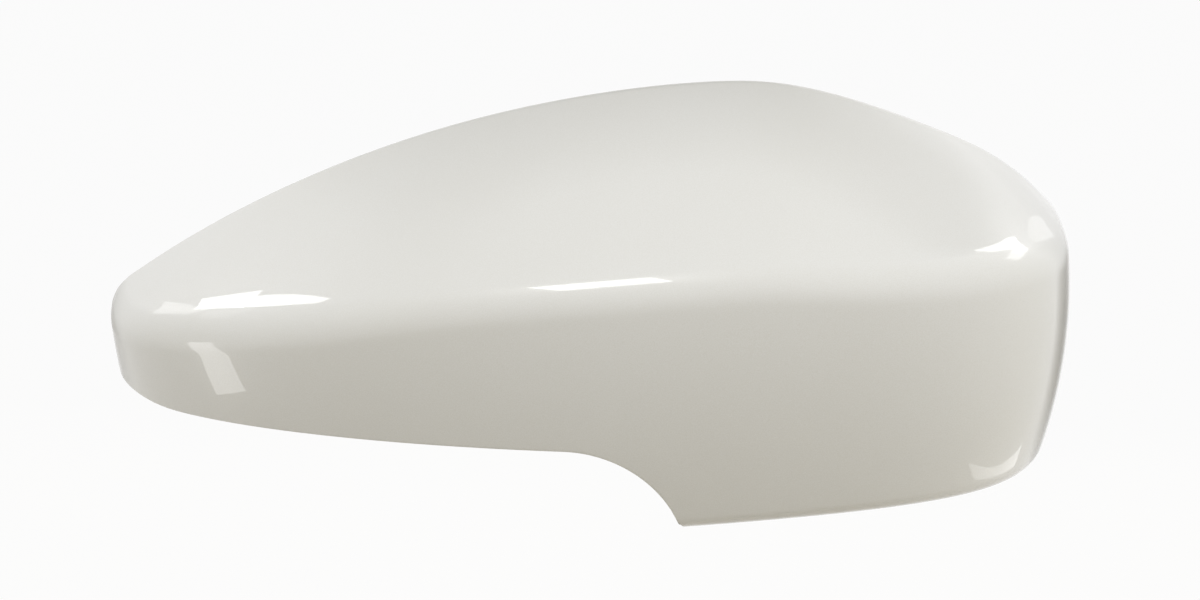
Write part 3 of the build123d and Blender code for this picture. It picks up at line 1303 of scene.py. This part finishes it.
@dataclass
class LocatingPegs(SeatedPiece):
    """Two round pegs on bosses with four fins each."""

    name: str = "locating_pegs"
    ends: tuple[Triple, ...] = ((0.0, 0.0, 0.0), (-68.0, 20.0, -4.0))
    radius: float = 3.0
    length: float = 10.0
    nose: float = 1.2
    nose_taper: float = 30.0
    boss_r: float = 5.0
    fin_reach: float = 10.0
    fin_setback: float = 4.0
    fin_thickness: float = 1.6
    fin_slices: int = 12
    sides: int = 64
    root: float = 70.0
    root_share: float = 0.9
    reach: float = 60.0

    def pin(self) -> Thing:
        """Turn the pin, its nose and its boss about the peg's axis.

        Returns:
            The closed form.
        """
        tip = self.radius - self.nose * math.tan(math.radians(self.nose_taper))
        profile = ((tip, self.nose), (self.radius, 0.0), (self.radius, -self.length),
                   (self.boss_r, -self.length), (self.boss_r, -self.root))
        turns = [2 * math.pi * k / self.sides for k in range(self.sides)]
        rings = [[(r * math.cos(a), y, r * math.sin(a)) for a in turns] for r, y in profile]
        return stack("peg_blank", rings)

    def fin(self, upright: bool) -> Thing:
        """Make a plate through the boss, cut into slices along its reach.

        Args:
            upright: along Z instead of X.

        Returns:
            The plate.
        """
        half, top = self.fin_thickness / 2, -self.length - self.fin_setback
        section = ((-half, top), (half, top), (half, -self.root), (-half, -self.root))
        levels = np.linspace(-self.fin_reach, self.fin_reach, self.fin_slices + 1)
        return stack("fin_plate", [[(b, y, a) if upright else (a, y, b) for b, y in section] for a in levels])

    def blank(self) -> Thing:
        """Join the pin and the fins.

        Returns:
            One peg with a root that is longer than it needs.
        """
        peg = self.pin()
        for upright in (False, True):
            unite(peg, self.fin(upright))
        return peg

    def in_root(self, y: Array) -> Array:
        """Which places along the blank belong to its root."""
        return y < -self.root_share * self.root

    def seats(self) -> Seats:
        """Ends of the pins' round walls, the way to the front and no turn."""
        return [Vector(e) * MM for e in self.ends], [-REAR for _ in self.ends], [Vector() for _ in self.ends]


@dataclass
class StiffeningRibs(InsidePiece):
    """Four low plates across the inside of the shell."""

    name: str = "stiffening_ribs"
    xs: tuple[float, ...] = (-95.0, -35.0, 30.0, 80.0)
    height: float = 5.0
    thickness: float = 1.3
    rim_gap: float = 26.0
    spacing: float = 0.8
    sink: float = 0.8
    edge: float = 0.2

    def line(self, grid: ShellGrid, x: float) -> tuple[Array, Array]:
        """Follow the inner face at one place along the cover.

        Args:
            grid: the inner face.
            x: the place.

        Returns:
            Points sunk into the wall, and directions into the hollow.
        """
        on_foot = x > self.form.foot_tip_x
        rows = grid.points[1 if on_foot else grid.first_row[Band.WALL] + 1:]
        path = np.array([[x, *(np.interp(x, row[:, 0], row[:, k]) for k in (1, 2))] for row in rows])
        behind = path[:, 1] > self.form.rim_y - self.rim_gap
        if on_foot:
            behind = np.cumsum(behind & (path[:, 2] > 0)) > 0
        path = path[~behind]
        keep = [0]
        for k in range(1, len(path)):
            if np.linalg.norm(path[k] - path[keep[-1]]) > self.spacing:
                keep.append(k)
        path = path[keep]
        along = np.gradient(path, axis=0)
        rise = unit(np.stack([np.zeros(len(path)), along[:, 2], -along[:, 1]], -1))
        return path - self.sink * rise, rise

    def build(self, tree: RibTree, grid: ShellGrid) -> None:
        """Raise the ribs.

        Args:
            tree: the rib tree.
            grid: the shell's inner face.
        """
        points, rises, edges = [], [], []
        for x in self.xs:
            path, rise = self.line(grid, x)
            path[:, 0] -= self.thickness / 2
            edges += [(len(points) + k, len(points) + k + 1) for k in range(len(path) - 1)]
            points += list(path * MM)
            rises += list(rise)
        self.thing = add_mesh(self.name, points, edges)
        set_attribute(self.thing, RibTree.RISE, "FLOAT_VECTOR", rises)
        tree.apply(self.thing, self.finish, {
            "Height": (self.height + self.sink) * MM, "Thickness": self.thickness * MM})
        face_outwards(self.thing)
        soften(self.thing, self.edge)
        shade(self.thing)


@dataclass(frozen=True)
class Softbox:
    """A rectangular lamp that points at the cover (metres, watts and radians)."""

    name: str
    place: Triple
    size: tuple[float, float]
    power: float
    spin: float = 0.0

    def build(self, target: Vector, mirrored: bool) -> None:
        """Hang the lamp.

        Args:
            target: what it points at.
            mirrored: whether gloss shows the lamp itself.
        """
        data = bpy.data.lights.new(self.name, "AREA")
        data.shape = "RECTANGLE"
        data.size, data.size_y = self.size
        data.energy = self.power
        lamp = bpy.data.objects.new(self.name, data)
        lamp.location = self.place
        facing = (target - lamp.location).to_track_quat("-Z", "Y")
        lamp.rotation_mode = "QUATERNION"
        lamp.rotation_quaternion = facing @ Matrix.Rotation(self.spin, 3, "Z").to_quaternion()
        lamp.visible_camera = False
        lamp.visible_glossy = mirrored
        bpy.context.scene.collection.objects.link(lamp)


@dataclass(frozen=True)
class Card:
    """A grey card that faces the cover and thins out towards its edges (metres)."""

    name: str
    place: Triple
    size: tuple[float, float]
    depth: float
    steps: int = 16
    falloff: float = 0.8
    SHADE = "card_shade"

    def build(self, target: Vector) -> Thing:
        """Set the card up.

        Args:
            target: what it faces.

        Returns:
            The card.
        """
        place, (wide, high) = Vector(self.place), self.size
        facing = (target - place).to_track_quat("Z", "Y")
        ticks = np.linspace(-1, 1, self.steps + 1)
        corners = [place + facing @ Vector((x * wide / 2, y * high / 2, 0)) for y in ticks for x in ticks]
        row = self.steps + 1
        starts = [i * row + j for i in range(self.steps) for j in range(self.steps)]
        card = add_mesh(self.name, corners, faces=[(k, k + 1, k + row + 1, k + row) for k in starts])
        fall = np.cos(ticks * math.pi / 2) ** self.falloff
        set_attribute(card, self.SHADE, "FLOAT", self.depth * np.outer(fall, fall))
        return card


@dataclass
class Studio:
    """White surroundings, a pale floor well below the cover, lamps, cards and the camera (metres)."""

    target: Vector = field(default_factory=lambda: Vector((0.003, 0.014, 0.007)))
    elevation: float = 12.0
    distance: float = 0.829
    lens: float = 100.0
    clip: tuple[float, float] = (0.01, 100.0)
    floor_z: float = -0.36
    floor_half: float = 6.0
    floor_glow: float = 0.96
    floor_colour: Triple = (0.40, 0.355, 0.25)
    card_colour: Triple = (0.20, 0.185, 0.165)
    ambient: float = 0.12
    softboxes: tuple[Softbox, ...] = (
        Softbox("above_front", (0.0, -0.8, 1.0), (1.2, 0.9), 3.9),
        Softbox("overhead", (-0.25, -0.1, 1.2), (0.9, 0.7), 1.4),
        Softbox("above_left", (-0.9, -0.2, 0.8), (1.0, 1.2), 3.1),
        Softbox("above_right", (0.9, -0.4, 0.8), (1.0, 1.0), 1.0),
        Softbox("above_rear", (0.0, 0.9, 1.1), (1.2, 0.8), 1.5),
        Softbox("rear_fill", (0.15, 1.3, 0.15), (1.2, 0.7), 5.0),
        Softbox("right_side", (1.2, -0.3, 0.15), (1.3, 0.9), 3.5),
        Softbox("right_front", (0.95, -0.95, 0.5), (1.3, 1.2), 6.7),
        Softbox("left_low", (-1.3, -0.35, -0.05), (0.9, 0.4), 2.3),
    )
    strips: tuple[Softbox, ...] = (
        Softbox("left_strip_far", (-0.763, 0.803, 0.792), (0.181, 0.045), 0.09, 1.452),
        Softbox("left_strip_near", (-0.710, 0.707, 0.900), (0.161, 0.035), 0.07, 1.352),
        Softbox("left_strip_low", (-0.881, 0.828, 0.661), (0.240, 0.211), 0.16, 1.254),
        Softbox("left_strip_side", (-0.929, 0.572, 0.824), (0.446, 0.142), 0.10, -0.199),
        Softbox("left_panel", (-0.807, -0.116, -0.196), (0.437, 0.125), 0.42, 1.812),
        Softbox("top_strip", (-0.300, -0.140, 1.277), (0.433, 0.253), 2.1, 2.719),
        Softbox("right_strip_far", (0.577, 0.874, 0.855), (0.410, 0.197), 0.64, 1.472),
        Softbox("right_strip_near", (0.862, 0.651, 0.848), (0.606, 0.234), 0.85, -0.299),
        Softbox("right_strip_low", (0.647, 1.149, 0.365), (0.067, 0.351), 0.026, 0.268),
        Softbox("foot_strip", (0.469, 0.042, -0.324), (0.405, 0.030), 0.06, 3.414),
    )
    cards: tuple[Card, ...] = (
        Card("card_above", (0.02, 1.45, 1.20), (1.9, 1.2), 1.0),
        Card("card_right", (0.86, 1.36, 0.05), (0.85, 1.6), 0.3),
        Card("card_right_low", (0.52, 0.70, -0.20), (0.42, 0.36), 0.9),
        Card("card_left", (-0.86, 1.36, -0.05), (0.85, 1.2), 0.35),
        Card("card_left_low", (-0.52, 0.70, -0.20), (0.40, 0.32), 0.4),
    )

    @staticmethod
    def seen(graph: Graph) -> Link:
        """1 for what the camera sees, directly or in a reflection."""
        path = graph.add("ShaderNodeLightPath")
        return path["Is Camera Ray"].largest(path["Is Glossy Ray"]).largest(path["Is Transmission Ray"])

    def world(self) -> None:
        """White to the camera and in reflections, softer as light."""
        world = bpy.data.worlds.new("studio")
        bpy.context.scene.world = world
        graph = Graph.fresh(world)
        soft, white = (graph.add("ShaderNodeBackground", {"Color": WHITE, "Strength": strength})["Background"]
                       for strength in (self.ambient, 1.0))
        graph.add("ShaderNodeOutputWorld", {"Surface": graph.either(self.seen(graph), soft, white)})

    def floor(self) -> None:
        """A pale floor that keeps the cover's shadow."""
        half, z = self.floor_half, self.floor_z
        corners = ((-half, -half, z), (half, -half, z), (half, half, z), (-half, half, z))
        floor = add_mesh("floor", corners, faces=[(0, 1, 2, 3)])
        material = bpy.data.materials.new("pale_floor")
        graph = Graph.fresh(material)
        paint = graph.add("ShaderNodeBsdfDiffuse", {"Color": (*self.floor_colour, 1.0)})["BSDF"]
        glow = graph.add("ShaderNodeEmission", {"Color": WHITE, "Strength": 1.0})["Emission"]
        surface = graph.either(self.seen(graph) * self.floor_glow, paint, glow)
        graph.add("ShaderNodeOutputMaterial", {"Surface": surface})
        floor.data.materials.append(material)

    def flags(self) -> None:
        """Grey cards out of view, which shade the cover's edges as in a studio."""
        material = bpy.data.materials.new("grey_card")
        graph = Graph.fresh(material)
        grey = graph.add("ShaderNodeBsdfDiffuse", {"Color": (*self.card_colour, 1.0)})["BSDF"]
        clear = graph.add("ShaderNodeBsdfTransparent")["BSDF"]
        depth = graph.add("ShaderNodeAttribute", attribute_name=Card.SHADE)["Fac"]
        graph.add("ShaderNodeOutputMaterial", {"Surface": graph.either(depth, clear, grey)})
        for card in self.cards:
            thing = card.build(self.target)
            thing.data.materials.append(material)
            thing.visible_camera = False

    def camera(self) -> None:
        """Look at the cover from the photograph's angle."""
        data = bpy.data.cameras.new("camera")
        data.lens = self.lens
        data.clip_start, data.clip_end = self.clip
        camera = bpy.data.objects.new("camera", data)
        slope = math.radians(self.elevation)
        back = Vector((0, -math.cos(slope), math.sin(slope)))
        camera.location = self.target + self.distance * back
        camera.rotation_euler = (-back).to_track_quat("-Z", "Y").to_euler()
        bpy.context.scene.collection.objects.link(camera)
        bpy.context.scene.camera = camera

    def build(self) -> None:
        """Set everything up."""
        bpy.context.scene.view_settings.view_transform = "Standard"
        self.world()
        self.floor()
        self.flags()
        for softbox in self.softboxes:
            softbox.build(self.target, mirrored=False)
        for strip in self.strips:
            strip.build(self.target, mirrored=True)
        self.camera()


def main() -> None:
    """Build and dress the pieces in order, then the studio."""
    logging.basicConfig(level=logging.INFO, format="%(name)s: %(message)s")
    outer, bare = ShellForm(), BarePlastic()
    inner = replace(outer, base=outer.wall)
    skin = CoverSkin(ShellGrid(outer), ShellGrid(inner), PearlPaint(inside=bare))
    skin.build()
    seats = SeatTree()
    hooks = SnapHooks(inner, bare)
    hooks.build(seats, skin.thing)
    pegs = LocatingPegs(inner, bare)
    pegs.build(seats, skin.thing)
    ribs = StiffeningRibs(inner, bare)
    ribs.build(RibTree(), skin.inner)
    for piece in (skin, hooks, pegs, ribs):
        piece.dress()
        log.info("%s: %d faces", piece.name, len(piece.thing.data.polygons))
    Studio().build()


if __name__ == "__main__":
    main()
